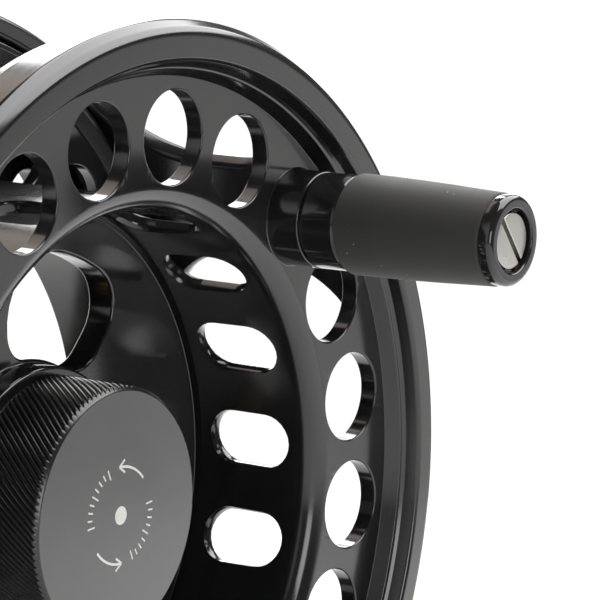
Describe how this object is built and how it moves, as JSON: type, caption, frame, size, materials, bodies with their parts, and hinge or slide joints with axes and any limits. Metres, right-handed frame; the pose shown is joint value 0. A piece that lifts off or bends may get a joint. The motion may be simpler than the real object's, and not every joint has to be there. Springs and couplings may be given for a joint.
{
  "type": "fly reel",
  "caption": "Large-arbor fly reel with an exposed palming rim, ported spool, full frame, sealed disc drag with rear knob, turn-to-release spool cap and a soft-grip handle.",
  "frame": {"origin": "centre of the foot's seating face, where it rests on the rod's reel seat", "axes": "+Z from the foot up to the spool axis; spool axis along Y with the handle side facing -Y; X along the rod"},
  "size_m": [0.095, 0.0757, 0.1045],
  "materials": {
    "black_anodised": "glossy black anodised",
    "frame_black": "black anodised",
    "cap_black": "satin black anodised, knurled side",
    "grip_rubber": "matt soft-touch sleeve",
    "stainless": "satin",
    "nickel": "bright nickel",
    "bearing_steel": "polished",
    "bronze": "sintered bronze",
    "brass": "satin",
    "tungsten": "satin grey",
    "carbon": "woven carbon friction face",
    "nylon": "natural nylon",
    "seal_rubber": "matt"
  },
  "bodies": {
    "frame": {"frame_back": "frame_black", "frame_pillars": "frame_black", "frame_front_ring": "frame_black", "foot_pillar": "frame_black", "reel_foot": "frame_black", "foot_screws": "stainless", "spindle": "stainless", "spindle_nut": "stainless", "hub_washer": "stainless", "hub_screw": "stainless", "knob_screw": "stainless", "bearing_inner_race": "bearing_steel", "drag_housing": "frame_black", "housing_screws": "stainless", "housing_cover": "frame_black", "cover_seal": "seal_rubber", "drag_disc_front": "carbon", "pawl_pin": "stainless"},
    "drag_rotor": {"drag_rotor": "stainless", "bearing_outer_race": "bearing_steel", "bearing_balls": "bearing_steel", "clutch_rollers": "bearing_steel", "clutch_cage": "nylon"},
    "drive_hub": {"drive_hub": "stainless", "hub_bush": "bronze", "click_gear": "brass"},
    "spool": {"spool_front": "black_anodised", "spool_drum": "black_anodised", "spool_web": "black_anodised", "spool_hub": "black_anodised", "spool_rear_flange": "black_anodised", "counterweight": "tungsten", "cap_washer": "nylon", "cap_retainer": "brass", "retainer_screws": "stainless", "handle_post": "stainless", "handle_washer": "nickel", "handle_screw": "nickel"},
    "handle": {"handle_core": "black_anodised", "grip_sleeve": "grip_rubber", "handle_bushes": "bronze"},
    "release_cap": {"release_cap": "cap_black", "cap_nut": "bronze"},
    "drag_knob": {"drag_knob": "frame_black", "thrust_washer": "bronze"},
    "pressure_stack": {"pressure_plate": "stainless", "drag_disc_rear": "carbon", "push_pins": "bearing_steel", "pin_carrier": "stainless", "spring_washers": "bearing_steel"},
    "click_pawl": {"click_pawl": "bearing_steel", "pawl_spring": "bearing_steel"}
  },
  "joints": [
    {"name": "drag_slip", "type": "hinge", "parent": "frame", "child": "drag_rotor", "pos_m": [0, 0.01375, 0.057], "axis": [0, -1, 0], "continuous": true},
    {"name": "winding", "type": "hinge", "parent": "drag_rotor", "child": "drive_hub", "pos_m": [0, 0.00875, 0.057], "axis": [0, -1, 0], "continuous": true},
    {"name": "spool_removal", "type": "slide", "parent": "drive_hub", "child": "spool", "axis": [0, -1, 0], "range_m": [0, 0.04]},
    {"name": "handle_spin", "type": "hinge", "parent": "spool", "child": "handle", "pos_m": [0.02154, -0.02925, 0.08618], "axis": [0, -1, 0], "continuous": true},
    {"name": "cap_turn", "type": "hinge", "parent": "spool", "child": "release_cap", "pos_m": [0, -0.01025, 0.057], "axis": [0, -1, 0], "continuous": true},
    {"name": "drag_knob_turn", "type": "hinge", "parent": "frame", "child": "drag_knob", "pos_m": [0, 0.02775, 0.057], "axis": [0, -1, 0], "range_deg": [0, 270]},
    {"name": "drag_pressure", "type": "slide", "parent": "frame", "child": "pressure_stack", "axis": [0, -1, 0], "range_m": [0, 0.0004]},
    {"name": "pawl_lift", "type": "hinge", "parent": "frame", "child": "click_pawl", "pos_m": [0.01458, 0.00675, 0.0648], "axis": [0, -1, 0], "range_deg": [0, 10], "stiffness_Nm_per_rad": 0.01, "springref_deg": -11.46}
  ],
  "couplings": [
    {"joint": "drag_pressure", "follows": "drag_knob_turn", "m_per_rad": 0.000084883}
  ]
}
